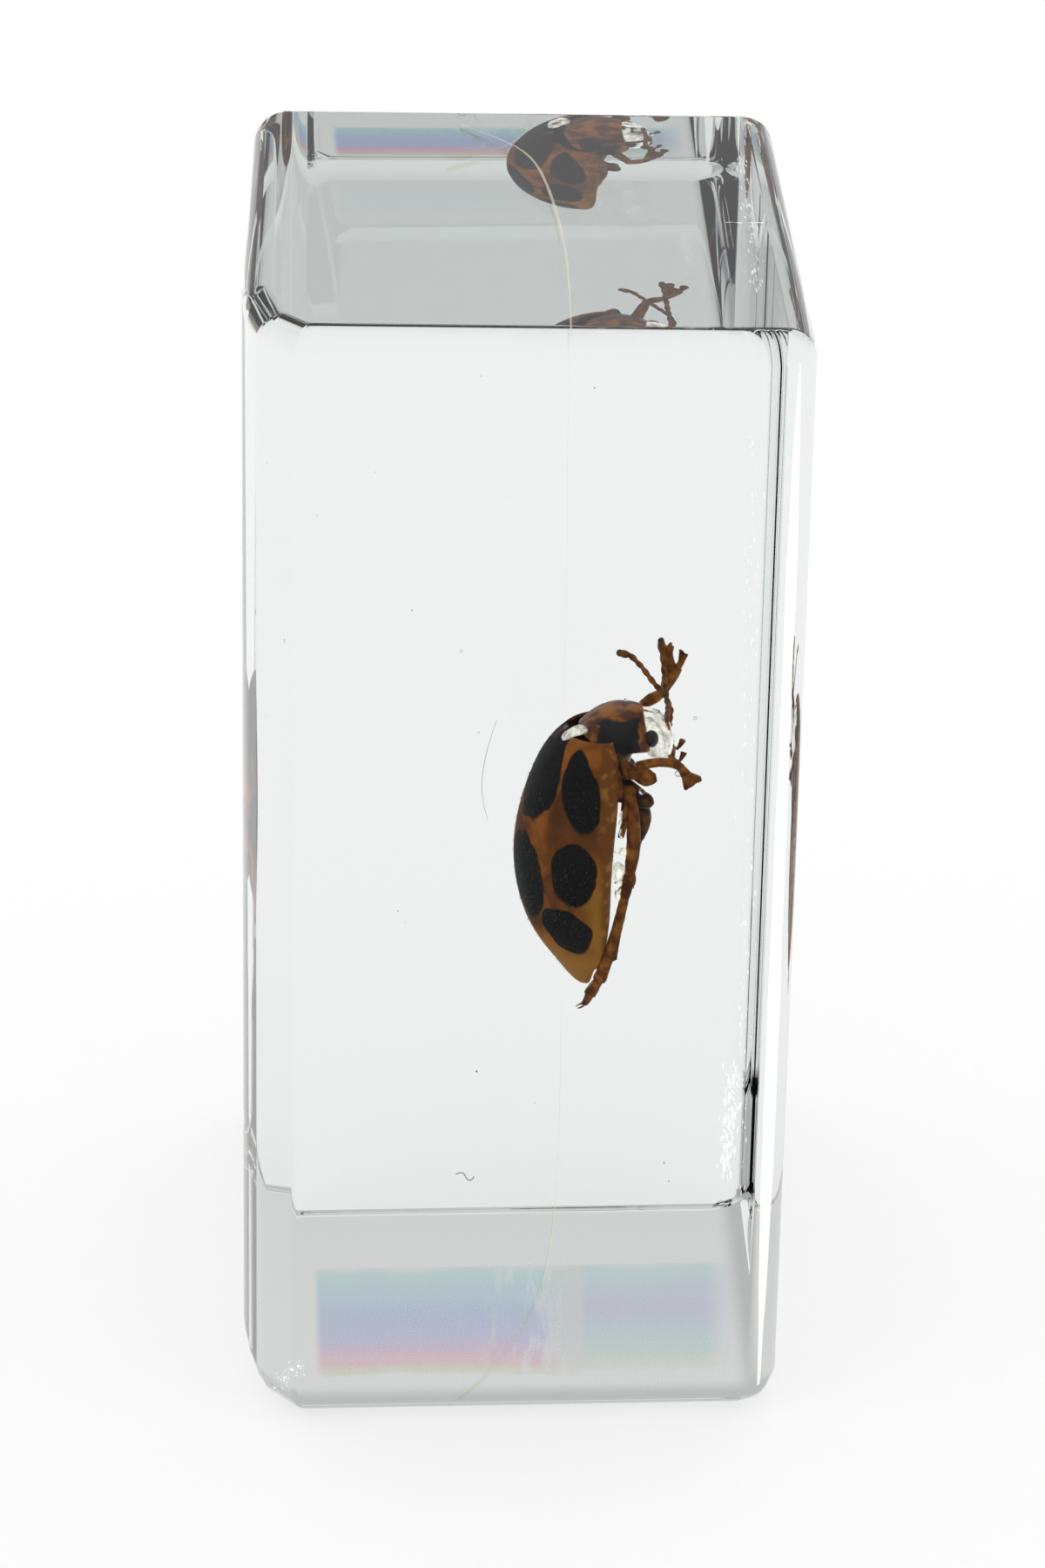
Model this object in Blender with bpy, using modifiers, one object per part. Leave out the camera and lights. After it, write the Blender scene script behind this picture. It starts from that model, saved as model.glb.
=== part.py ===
"""Insect in resin block: the clear cast block that holds the specimen.

One solid stands on a flat base at z = 0, with its origin at the bottom centre of its box.
+Z is up and -Y is the side that the specimen is looked at from. The block was sawn and
polished by hand, so its base is a little out of square with its sides, its front left
corner is ground off in two flats, and its edges are rounded more in some places than in
others. Units are metres.
"""

import math

import bpy
from mathutils import Matrix, Vector

# Driving dimensions of the block
BLOCK_WIDTH = 0.0206  # side to side, along X
BLOCK_DEPTH = 0.0280  # front to back, along Y
BLOCK_HEIGHT = 0.0440  # from the base to the middle of the top
LEAN_DEG = 1.5  # how far the sides lean towards +X from the base's normal

# The two flats ground on the front left corner, each as (how far along X, how far along Y),
# from the long, shallow one beside the left face to the short one beside the front face
CORNER_FLATS = ((0.0007, 0.0033), (0.00135, 0.0017))

# How far each edge's rounding reaches on to its faces
ROUND_LEFT_UPRIGHT = 0.0021
ROUND_RIGHT_UPRIGHT = 0.0012
ROUND_FLATS = (0.0015, 0.00045, 0.00012)  # the flats' upright edges, from left to front
ROUND_TOP = 0.0011
ROUND_BASE = 0.0016
ROUND_BASE_BACK = 0.0003

ROUND_SEGMENTS = 8
SAW_SPARE = 0.002  # how far the uncut block reaches below its base
UPRIGHT_COSINE = 0.9  # an edge this close to the Z axis is an upright one
SAME_PLACE = 0.0001  # places nearer than this along Y are on one edge

RESIN_COLOUR = (0.93, 0.95, 0.94, 1.0)
RESIN_IOR = 1.5
RESIN_ROUGHNESS = 0.02


def clear_scene():
    """Remove every object, so that only the part is left."""
    for obj in list(bpy.data.objects):
        bpy.data.objects.remove(obj, do_unlink=True)


def resin_material():
    """Clear polyester casting resin, polished."""
    material = bpy.data.materials.new("clear_casting_resin")
    material.use_nodes = True
    shader = material.node_tree.nodes["Principled BSDF"]
    shader.inputs["Base Color"].default_value = RESIN_COLOUR
    shader.inputs["Roughness"].default_value = RESIN_ROUGHNESS
    shader.inputs["Metallic"].default_value = 0.0
    shader.inputs["IOR"].default_value = RESIN_IOR
    shader.inputs["Transmission Weight"].default_value = 1.0
    return material


def select_all_mesh():
    bpy.ops.mesh.select_mode(type="VERT")
    bpy.ops.mesh.select_all(action="SELECT")


def cut_off(block, place, outwards):
    """Cut away all that lies beyond a plane, and close the cut."""
    bpy.ops.object.mode_set(mode="EDIT")
    select_all_mesh()
    bpy.ops.mesh.bisect(plane_co=place, plane_no=outwards, use_fill=True, clear_outer=True)
    bpy.ops.object.mode_set(mode="OBJECT")


def flat_edges():
    """Where the corner flats' upright edges stand along X and Y, from left to front."""
    x = -BLOCK_WIDTH / 2
    y = -BLOCK_DEPTH / 2 + sum(deep for _, deep in CORNER_FLATS)
    edges = [(x, y)]
    for across, deep in CORNER_FLATS:
        x, y = x + across, y - deep
        edges.append((x, y))
    return edges


def grind_corner(block):
    """Cut the flats of the front left corner."""
    for (x, y), (across, deep) in zip(flat_edges(), CORNER_FLATS):
        cut_off(block, (x, y, 0.0), Vector((-deep, -across, 0.0)).normalized())


def sawn_block():
    """A box turned by the lean, cut flat at the base and still sharp at its edges."""
    height = BLOCK_HEIGHT + SAW_SPARE
    bpy.ops.mesh.primitive_cube_add(size=1.0, location=(0.0, 0.0, 0.0))
    block = bpy.context.active_object
    block.name = "resin_block"
    size = Matrix.Diagonal((BLOCK_WIDTH, BLOCK_DEPTH, height, 1.0))
    raised = Matrix.Translation((0.0, 0.0, BLOCK_HEIGHT - height / 2))
    lean = Matrix.Rotation(math.radians(LEAN_DEG), 4, "Y")
    centred = Matrix.Translation((-BLOCK_HEIGHT * math.tan(math.radians(LEAN_DEG)) / 2, 0.0, 0.0))
    block.data.transform(raised @ size)
    grind_corner(block)
    block.data.transform(centred @ lean)
    cut_off(block, (0.0, 0.0, 0.0), (0.0, 0.0, -1.0))
    return block


def round_of(edge, mesh):
    """The radius of one edge, from where the edge is."""
    first, last = (mesh.vertices[index].co for index in edge.vertices)
    middle = (first + last) / 2
    along = (last - first).normalized()
    if abs(along.z) > UPRIGHT_COSINE:
        if middle.x > 0.0:
            return ROUND_RIGHT_UPRIGHT
        for (_, y), reach in zip(flat_edges(), ROUND_FLATS):
            if abs(middle.y - y) < SAME_PLACE:
                return reach
        return ROUND_LEFT_UPRIGHT
    if middle.z > BLOCK_HEIGHT / 2:
        return ROUND_TOP
    at_the_back = middle.y > BLOCK_DEPTH / 4
    return ROUND_BASE_BACK if at_the_back else ROUND_BASE


def round_edges(block):
    """Round every edge by its own radius, which its bevel weight holds."""
    widest = max(ROUND_LEFT_UPRIGHT, ROUND_RIGHT_UPRIGHT, ROUND_TOP, ROUND_BASE)
    mesh = block.data
    weights = mesh.attributes.new("bevel_weight_edge", "FLOAT", "EDGE")
    for edge in mesh.edges:
        weights.data[edge.index].value = round_of(edge, mesh) / widest
    bevel = block.modifiers.new("polished_edges", "BEVEL")
    bevel.limit_method = "WEIGHT"
    bevel.offset_type = "OFFSET"
    bevel.width = widest
    bevel.segments = ROUND_SEGMENTS
    bevel.use_clamp_overlap = False


def build_block(collection):
    block = sawn_block()
    round_edges(block)
    block.data.shade_smooth()
    block.data.materials.append(resin_material())
    for holder in list(block.users_collection):
        holder.objects.unlink(block)
    collection.objects.link(block)
    return block


def main():
    clear_scene()
    collection = bpy.data.collections.new("insect_in_resin_block")
    bpy.context.scene.collection.children.link(collection)
    build_block(collection)


main()
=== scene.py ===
"""Looks of an insect in a resin block: a spotted ladybird beetle cast in clear resin.

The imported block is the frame. A smooth copy of it is modelled here, and everything sealed
in it: the beetle, the film where two pours of resin meet, bubbles, scratches and the
strain colours low behind the front face. Sizes are in millimetres until they reach
Blender, which works in metres. +Z is up, -Y is the face that the beetle is seen through,
the beetle's head points up and its back faces -X.
"""

import logging
import math
import random
from collections.abc import Callable, Iterator, Sequence
from contextlib import contextmanager
from dataclasses import dataclass, field
from functools import cached_property

import bmesh
import bpy
from bpy.types import Material, Mesh, MeshEdge, Node, NodeSocket, NodeTree, Object
from mathutils import Matrix, Vector


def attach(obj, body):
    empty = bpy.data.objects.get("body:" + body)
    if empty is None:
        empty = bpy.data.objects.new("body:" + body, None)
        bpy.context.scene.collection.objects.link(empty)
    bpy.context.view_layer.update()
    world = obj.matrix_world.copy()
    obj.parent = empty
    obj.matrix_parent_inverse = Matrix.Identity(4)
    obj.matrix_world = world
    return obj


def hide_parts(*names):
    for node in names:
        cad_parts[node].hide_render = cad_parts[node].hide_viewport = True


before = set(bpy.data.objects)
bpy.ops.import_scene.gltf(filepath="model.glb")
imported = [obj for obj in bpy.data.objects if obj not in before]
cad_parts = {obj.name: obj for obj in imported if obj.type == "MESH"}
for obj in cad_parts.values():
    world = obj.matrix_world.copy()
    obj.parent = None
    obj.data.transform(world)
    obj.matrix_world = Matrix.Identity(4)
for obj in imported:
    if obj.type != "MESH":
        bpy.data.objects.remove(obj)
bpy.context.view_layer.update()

MM = 0.001
LOG = logging.getLogger("insect_in_resin")
Colour = tuple[float, float, float, float]
Point = tuple[float, float, float]
Tone = NodeSocket | Colour | str  # a colour, or its sRGB hex digits
Value = NodeSocket | float

WHITE: Colour = (1.0, 1.0, 1.0, 1.0)
BEETLE_Y = 1.6  # the beetle's plane of symmetry
BLUNT_MM = 0.03  # how far a thin shell's sharp edges are blunted
TINY = 1e-6  # metres: points nearer than this are one point


# ---------------------------------------------------------------------------- helpers


def linear(hex_colour: str) -> Colour:
    """Turn an sRGB hex colour into linear RGBA.

    Args:
        hex_colour: Six hex digits, such as "a05a22".

    Returns:
        The linear colour with alpha 1.
    """
    parts = [int(hex_colour[i : i + 2], 16) / 255 for i in (0, 2, 4)]
    low, high = 12.92, 1.055
    red, green, blue = (p / low if p <= 0.04045 else ((p + 0.055) / high) ** 2.4 for p in parts)
    return (red, green, blue, 1.0)


def deselect_all() -> None:
    """Leave edit mode if need be and deselect every object."""
    if bpy.context.object and bpy.context.object.mode != "OBJECT":
        bpy.ops.object.mode_set(mode="OBJECT")
    bpy.ops.object.select_all(action="DESELECT")


def select_only(obj: Object) -> None:
    """Select one object and make it the active one."""
    deselect_all()
    obj.select_set(True)
    bpy.context.view_layer.objects.active = obj


@contextmanager
def editing(obj: Object) -> Iterator[None]:
    """Work on one object in edit mode, and come back to object mode afterwards.

    Args:
        obj: The mesh object to edit.

    Yields:
        Nothing.
    """
    select_only(obj)
    bpy.ops.object.mode_set(mode="EDIT")
    yield
    bpy.ops.object.mode_set(mode="OBJECT")


def apply_modifiers(obj: Object) -> None:
    """Apply every modifier on an object, first to last.

    Args:
        obj: The object that keeps the results in its mesh.
    """
    select_only(obj)
    for modifier in list(obj.modifiers):
        bpy.ops.object.modifier_apply(modifier=modifier.name)


def finish_piece(
    obj: Object, name: str, material: Material
) -> Object:
    """Name, dress and place one finished piece on the block's body.

    Args:
        obj: The finished mesh object.
        name: The piece's name.
        material: The finish it wears.

    Returns:
        The same object.
    """
    select_only(obj)
    bpy.ops.object.transform_apply(location=True, rotation=True, scale=True)
    obj.name = name
    obj.data.name = name
    obj.data.materials.clear()
    obj.data.materials.append(material)
    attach(obj, "root")
    LOG.info("piece %s: %d faces", name, len(obj.data.polygons))
    return obj


def pick(obj: Object, test: Callable[[Vector], bool]) -> None:
    """Select the vertices that pass a test of their place, in edit mode.

    Args:
        obj: The mesh object in edit mode.
        test: Says of a place in millimetres whether its vertex is wanted.
    """
    bpy.ops.mesh.select_mode(type="VERT")
    bpy.ops.mesh.select_all(action="DESELECT")
    mesh = bmesh.from_edit_mesh(obj.data)
    for vertex in mesh.verts:
        vertex.select_set(test(vertex.co / MM))
    mesh.select_flush(True)
    bmesh.update_edit_mesh(obj.data)


def clean_shell(obj: Object) -> None:
    """Merge doubled points and turn every face outwards.

    Args:
        obj: The mesh object to clean.
    """
    with editing(obj):
        bpy.ops.mesh.select_all(action="SELECT")
        bpy.ops.mesh.remove_doubles(threshold=TINY)
        bpy.ops.mesh.normals_make_consistent(inside=False)


def smooth(obj: Object, levels: int) -> None:
    """Round an object's mesh with applied subdivision and smooth shading.

    Args:
        obj: The mesh object.
        levels: How many times its faces are divided.
    """
    if levels:
        rounding = obj.modifiers.new("rounding", "SUBSURF")
        rounding.levels = levels
        rounding.render_levels = levels
    apply_modifiers(obj)
    obj.data.shade_smooth()


def join(pieces: Sequence[Object]) -> Object:
    """Join objects into the first one.

    Args:
        pieces: Mesh objects, at least one.

    Returns:
        The object that holds them all.
    """
    deselect_all()
    for piece in pieces:
        piece.select_set(True)
    bpy.context.view_layer.objects.active = pieces[0]
    bpy.ops.object.join()
    return pieces[0]


def add_wall(obj: Object, wall_mm: float, sharp_deg: float = 30.0) -> None:
    """Give an open shell its thickness, inwards, and blunt its sharp edges.

    Args:
        obj: The shell.
        wall_mm: How thick it becomes, in millimetres.
        sharp_deg: Edges that turn by more than this are blunted.
    """
    wall = obj.modifiers.new("wall", "SOLIDIFY")
    wall.thickness = wall_mm * MM
    wall.offset = -1.0
    edge = obj.modifiers.new("edge", "BEVEL")
    edge.width = BLUNT_MM * MM
    edge.segments = 2
    edge.limit_method = "ANGLE"
    edge.angle_limit = math.radians(sharp_deg)
    apply_modifiers(obj)


def copy_of(obj: Object) -> Object:
    """Return a copy of an object with its own mesh."""
    made = obj.copy()
    made.data = obj.data.copy()
    bpy.context.scene.collection.objects.link(made)
    return made


@dataclass(frozen=True)
class Station:
    """One cross-section of a lofted piece, in millimetres.

    Attributes:
        x: Its foot, on an arch, or its middle.
        z: Its height.
        tall: Its reach across, towards the beetle's back before it is turned.
        wide: Its half-width along Y.
        turn: Degrees it is turned about Y, from facing -X towards +Z.
        y: Its middle along Y.
    """

    x: float
    z: float
    tall: float
    wide: float
    turn: float = 0.0
    y: float = BEETLE_Y

    def middle(self) -> Vector:
        """Return the section's middle in metres."""
        return Vector((self.x, self.y, self.z)) * MM


def stations(*rows: Sequence[float]) -> tuple[Station, ...]:
    """Return cross-sections from rows of their numbers, in the order of a station's."""
    return tuple(Station(*row) for row in rows)


def loft(sections: Sequence[Station], sides: int = 32, arch: bool = False) -> Object:
    """Extrude a ring or a half ring through cross-sections, closing a ring's ends.

    Args:
        sections: The cross-sections from one end to the other.
        sides: Points on a whole ring, a multiple of 4.
        arch: Whether only the half towards the back is kept, left open.

    Returns:
        The new mesh object.
    """
    deselect_all()
    bpy.ops.mesh.primitive_circle_add(vertices=sides, radius=MM, fill_type="NOTHING")
    obj = bpy.context.active_object
    last = Station(0.0, 0.0, 1.0, 1.0, y=0.0)
    with editing(obj):
        if arch:
            pick(obj, lambda place: place.x > 0.001)
            bpy.ops.mesh.delete(type="VERT")
        bpy.ops.mesh.select_all(action="SELECT")
        for station in sections:
            if station is not sections[0]:
                bpy.ops.mesh.extrude_edges_move()
            here = last.middle()
            bpy.ops.transform.rotate(
                value=math.radians(last.turn), orient_axis="Y", center_override=here
            )
            growth = (station.tall / last.tall, station.wide / last.wide, 1.0)
            bpy.ops.transform.resize(value=growth, center_override=here)
            bpy.ops.transform.rotate(
                value=-math.radians(station.turn), orient_axis="Y", center_override=here
            )
            bpy.ops.transform.translate(value=station.middle() - here)
            last = station
        if not arch:
            bpy.ops.mesh.select_all(action="SELECT")
            bpy.ops.mesh.fill_holes(sides=0)
    clean_shell(obj)
    return obj


def tube(points: Sequence[Point], radii: Sequence[float], roundness: int = 3) -> Object:
    """Draw a closed tube along a smooth path, as thick at each point as asked.

    Args:
        points: Places along the path, in millimetres.
        radii: The tube's radius at each place, in millimetres.
        roundness: Divisions of each quarter of its rim.

    Returns:
        The tube as a mesh object.
    """
    curve = bpy.data.curves.new("path", "CURVE")
    curve.dimensions = "3D"
    curve.bevel_depth = MM
    curve.bevel_resolution = roundness
    curve.use_fill_caps = True
    spline = curve.splines.new("NURBS")
    spline.points.add(len(points) - 1)
    for knot, place, radius in zip(spline.points, points, radii, strict=True):
        knot.co = (*(Vector(place) * MM), 1.0)
        knot.radius = radius
    spline.order_u = 3
    spline.use_endpoint_u = True
    spline.resolution_u = 5
    path = bpy.data.objects.new("path", curve)
    bpy.context.scene.collection.objects.link(path)
    select_only(path)
    bpy.ops.object.convert(target="MESH")
    made = bpy.context.active_object
    clean_shell(made)
    made.data.shade_smooth()
    return made


def ball(place: Point, sizes: Point, rings: int = 3) -> Object:
    """Make a ball stretched to three half-sizes.

    Args:
        place: Its middle, in millimetres.
        sizes: Its half-sizes along X, Y and Z, in millimetres.
        rings: Subdivisions of the icosphere that it starts from.

    Returns:
        The new mesh object.
    """
    deselect_all()
    bpy.ops.mesh.primitive_ico_sphere_add(subdivisions=rings, radius=1.0)
    made = bpy.context.active_object
    with editing(made):
        bpy.ops.mesh.select_all(action="SELECT")
        bpy.ops.transform.resize(value=Vector(sizes) * MM)
        bpy.ops.transform.translate(value=Vector(place) * MM)
    made.data.shade_smooth()
    return made


def crumple(obj: Object, grain_mm: float, depth_mm: float, seed: int = 0) -> None:
    """Push an object's surface in and out with noise and apply it.

    Args:
        obj: The mesh object.
        grain_mm: Size of the lumps, in millimetres.
        depth_mm: How far they reach from lowest to highest, in millimetres.
        seed: Moves the noise, so that two objects differ.
    """
    noise = bpy.data.textures.new("crumple", "CLOUDS")
    noise.noise_scale = grain_mm * MM
    noise.noise_depth = 1 + seed % 3
    push = obj.modifiers.new("crumple", "DISPLACE")
    push.texture = noise
    push.texture_coords = "LOCAL"
    push.strength = depth_mm * MM
    push.mid_level = 0.5
    apply_modifiers(obj)


# ---------------------------------------------------------------------------- nodes


class Nodes:
    """A node tree as it is built, with the steps that its makers share."""

    def __init__(self, tree: NodeTree) -> None:
        """Take up a tree.

        Args:
            tree: The tree that gets the nodes.
        """
        self.tree = tree

    def add(self, kind: str, settings: dict | None = None, inputs: dict | None = None) -> Node:
        """Add one node with its settings, values and links.

        Args:
            kind: Blender's name of the node type.
            settings: Attributes to set on the node.
            inputs: Socket name or index to a value, or to the socket that feeds it.

        Returns:
            The new node.
        """
        made = self.tree.nodes.new(kind)
        for name, value in (settings or {}).items():
            setattr(made, name, value)
        for key, value in (inputs or {}).items():
            if isinstance(value, NodeSocket):
                self.tree.links.new(value, made.inputs[key])
            else:
                made.inputs[key].default_value = value
        return made

    def calculate(self, operation: str, first: Value, second: Value = 0.0) -> NodeSocket:
        """Return one step of arithmetic on two values."""
        return self.add("ShaderNodeMath", {"operation": operation}, {0: first, 1: second}).outputs[0]

    def ramp(self, value: NodeSocket, low: float, high: float) -> NodeSocket:
        """Return a smooth step of a value, 0 at low and 1 at high."""
        ends = {"Value": value, "From Min": low, "From Max": high}
        step = self.add("ShaderNodeMapRange", {"interpolation_type": "SMOOTHSTEP"}, ends)
        return step.outputs["Result"]

    def blend(self, share: NodeSocket, first: Tone, second: Tone) -> NodeSocket:
        """Return the first colour turned to the second by a share from 0 to 1."""
        tones = [linear(tone) if isinstance(tone, str) else tone for tone in (first, second)]
        inputs = {0: share, 6: tones[0], 7: tones[1]}
        return self.add("ShaderNodeMix", {"data_type": "RGBA"}, inputs).outputs[2]


class Surface(Nodes):
    """A material as it is built: it takes every place in the object's own space."""

    def __init__(self, name: str) -> None:
        """Start an empty material.

        Args:
            name: The material's name.
        """
        self.made = bpy.data.materials.new(name)
        self.made.use_nodes = True
        super().__init__(self.made.node_tree)
        self.tree.nodes.clear()
        self.output = self.add("ShaderNodeOutputMaterial")

    @cached_property
    def place(self) -> NodeSocket:
        """Return the place of each point, in metres."""
        return self.add("ShaderNodeTexCoord").outputs["Object"]

    def axis(self, name: str) -> NodeSocket:
        """Return one coordinate of each point, in metres."""
        return self.add("ShaderNodeSeparateXYZ", inputs={0: self.place}).outputs[name]

    def noise(self, size_mm: float, detail: float = 3.0, place: NodeSocket | None = None) -> NodeSocket:
        """Return noise from 0 to 1 whose lumps have a real size.

        Args:
            size_mm: The size of one lump, in millimetres.
            detail: Octaves of finer noise.
            place: The coordinates it is laid out on, if not the plain ones.

        Returns:
            The noise.
        """
        inputs = {"Vector": place or self.place, "Scale": 1.0 / (size_mm * MM), "Detail": detail}
        return self.add("ShaderNodeTexNoise", inputs=inputs).outputs["Fac"]

    def patches(self, size_mm: float, detail: float, low: float, high: float) -> NodeSocket:
        """Return noise sharpened to patches: 0 below low and 1 above high."""
        return self.ramp(self.noise(size_mm, detail), low, high)

    def cells(self, size_mm: float, feature: str = "F1") -> NodeSocket:
        """Return how far a place is from the middle of its cell, the cells having a real size."""
        inputs = {"Vector": self.place, "Scale": 1.0 / (size_mm * MM)}
        return self.add("ShaderNodeTexVoronoi", {"feature": feature}, inputs).outputs["Distance"]

    def bump(self, height: NodeSocket, depth_mm: float, strength: float = 1.0) -> NodeSocket:
        """Return the normal of a surface that a height raises by up to a real depth."""
        inputs = {"Height": height, "Distance": depth_mm * MM, "Strength": strength}
        return self.add("ShaderNodeBump", inputs=inputs).outputs["Normal"]

    def finish(self, shader: Node) -> Material:
        """Put a shader on the surface and return the whole material."""
        self.tree.links.new(shader.outputs[0], self.output.inputs["Surface"])
        return self.made

    def shaded(self, inputs: dict, holes: Value | None = None) -> Material:
        """Finish the material with a solid-looking shader.

        Args:
            inputs: The shader's sockets, and the value or socket that each takes.
            holes: The share of the surface that is open, if any is.

        Returns:
            The material.
        """
        shader = self.add("ShaderNodeBsdfPrincipled", inputs=inputs)
        if holes is not None:
            clear = self.add("ShaderNodeBsdfTransparent")
            ways = {0: holes, 1: shader.outputs[0], 2: clear.outputs[0]}
            shader = self.add("ShaderNodeMixShader", inputs=ways)
        return self.finish(shader)

    def tinted(self, colour: NodeSocket) -> Material:
        """Finish the material as a clear film that tints what is behind it."""
        return self.finish(self.add("ShaderNodeBsdfTransparent", inputs={"Color": colour}))


# ---------------------------------------------------------------------------- finishes


@dataclass(frozen=True)
class CastingResin:
    """Clear polyester casting resin, polished: water-clear with a faint grey-green depth."""

    ior: float = 1.5
    roughness: float = 0.0
    # How much of the mirror image on its faces is kept
    gloss: float = 0.15
    # What is left of white light after a straight way through the block
    colour_kept: str = "eef1f0"
    way_mm: float = 28.0
    density: float = 20.0

    def material(self) -> Material:
        """Build the resin, with absorption in its body."""
        surface = Surface("polished_casting_resin")
        per_metre = [-math.log(c) / (self.way_mm * MM) for c in linear(self.colour_kept)[:3]]
        colour = (*(1 - lost / self.density for lost in per_metre), 1.0)
        body = {"Color": colour, "Density": self.density}
        volume = surface.add("ShaderNodeVolumeAbsorption", inputs=body)
        surface.tree.links.new(volume.outputs["Volume"], surface.output.inputs["Volume"])
        return surface.shaded({
            "Base Color": WHITE,
            "Roughness": self.roughness,
            "IOR": self.ior,
            "Transmission Weight": 1.0,
            "Specular Tint": (self.gloss, self.gloss, self.gloss, 1.0),
        })


@dataclass(frozen=True)
class Spot:
    """One dark spot, laid out on the unrolled wing case.

    Attributes:
        across: Millimetres from the outer margin, along the shell.
        height: Its middle's height, in millimetres.
        half_across: Half its size across the shell.
        half_high: Half its size along the body.
        tilt: Degrees it is turned on the shell.
    """

    across: float
    height: float
    half_across: float
    half_high: float
    tilt: float = 0.0


@dataclass(frozen=True)
class SpottedChitin:
    """Wing-case chitin in resin: dull orange-brown, charcoal spots, finely pitted and hairy.

    The pits and the pale hair roots give it a soft grain instead of a shine.
    """

    margin_x: float = 3.56
    arch_tall: float = 3.56
    arch_wide: float = 4.15
    shell: str = "ab621d"
    shell_dark: str = "60330f"
    rim: str = "7c4a16"
    rim_gleam: str = "a8702a"
    tail: str = "ad7526"
    charcoal: str = "08070a"
    bloom: str = "24232b"
    pit_mm: float = 0.14
    spots: tuple[Spot, ...] = (
        Spot(4.40, 23.30, 1.85, 1.95, -20.0),
        Spot(1.30, 22.85, 0.98, 1.66, -20.0),
        Spot(4.45, 19.05, 1.55, 1.85, -3.0),
        Spot(1.48, 19.55, 1.06, 1.42, 4.0),
        Spot(2.12, 16.98, 1.42, 1.06, 12.0),
    )
    # A dusky place between the two spots nearest the margin
    smudge: Spot = Spot(1.35, 21.25, 1.55, 1.0, 0.0)

    def around(self, surface: Surface) -> tuple[NodeSocket, NodeSocket]:
        """Unroll the arch of the wing cases.

        Args:
            surface: The material being built.

        Returns:
            The way along the shell from its margin and the height, in millimetres.
        """
        step = surface.calculate
        depth = step("SUBTRACT", self.margin_x * MM, surface.axis("X"))
        depth = step("DIVIDE", depth, self.arch_tall * MM)
        side = step("ABSOLUTE", step("SUBTRACT", surface.axis("Y"), BEETLE_Y * MM))
        angle = step("ARCTAN2", depth, step("DIVIDE", side, self.arch_wide * MM))
        across = step("MULTIPLY", angle, (self.arch_tall + self.arch_wide) / 2)
        return across, step("DIVIDE", surface.axis("Z"), MM)

    def from_middle(self, surface: Surface, unrolled: NodeSocket, spot: Spot) -> NodeSocket:
        """Return how far a place is from a spot's middle, 1 on the spot's outline."""
        outline = {
            "Vector": unrolled,
            "Location": (spot.across, spot.height, 0.0),
            "Rotation": (0.0, 0.0, math.radians(spot.tilt)),
            "Scale": (spot.half_across, spot.half_high, 1.0),
        }
        laid = surface.add("ShaderNodeMapping", {"vector_type": "TEXTURE"}, outline).outputs[0]
        length = surface.add("ShaderNodeVectorMath", {"operation": "LENGTH"}, {0: laid})
        return length.outputs["Value"]

    def ground(self, surface: Surface, across: NodeSocket, height: NodeSocket) -> NodeSocket:
        """Return the mottled orange-brown, lighter towards the tail and along the low margin."""
        mottle = surface.patches(1.3, 4.0, 0.38, 0.66)
        colour = surface.blend(mottle, self.shell_dark, self.shell)
        beside = surface.ramp(across, 1.6, 0.4)
        amber = surface.calculate("MULTIPLY", beside, surface.ramp(height, 20.5, 18.0))
        amber = surface.calculate("MULTIPLY", amber, 0.85)
        low = surface.calculate("MAXIMUM", surface.ramp(height, 16.9, 15.3), amber)
        return surface.blend(low, colour, self.tail)

    def spotted(self, surface: Surface, unrolled: NodeSocket, ground: NodeSocket) -> NodeSocket:
        """Return the ground with its ragged spots, each dusted with pale hair roots."""
        nearest: Value = 9.0
        for spot in self.spots:
            middle = self.from_middle(surface, unrolled, spot)
            nearest = surface.calculate("MINIMUM", nearest, middle)
        ragged = surface.calculate("MULTIPLY", surface.noise(0.9, 5.0), 0.4)
        edge = surface.calculate("ADD", nearest, ragged)
        share = surface.calculate("SUBTRACT", 1.0, surface.ramp(edge, 1.13, 1.22))
        dark = surface.blend(surface.patches(0.07, 2.0, 0.68, 0.86), self.charcoal, self.bloom)
        return surface.blend(share, ground, dark)

    def material(self) -> Material:
        """Build the spotted shell."""
        surface = Surface("spotted_wing_case_chitin")
        across, height = self.around(surface)
        spread = {"X": across, "Y": height}
        unrolled = surface.add("ShaderNodeCombineXYZ", inputs=spread).outputs[0]
        colour = self.ground(surface, across, height)
        shade = surface.ramp(self.from_middle(surface, unrolled, self.smudge), 1.25, 0.7)
        shade = surface.calculate("MULTIPLY", shade, 0.8)
        colour = surface.blend(shade, colour, self.shell_dark)
        rim = surface.blend(surface.patches(0.45, 4.0, 0.5, 0.62), self.rim, self.rim_gleam)
        colour = surface.blend(surface.ramp(across, 0.5, 0.08), colour, rim)
        pits = surface.ramp(surface.cells(self.pit_mm), 0.0, 0.5)
        return surface.shaded({
            "Base Color": self.spotted(surface, unrolled, colour),
            "Roughness": 0.6,
            "Specular IOR Level": 0.1,
            "Normal": surface.bump(pits, 0.012, 0.3),
        })


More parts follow.
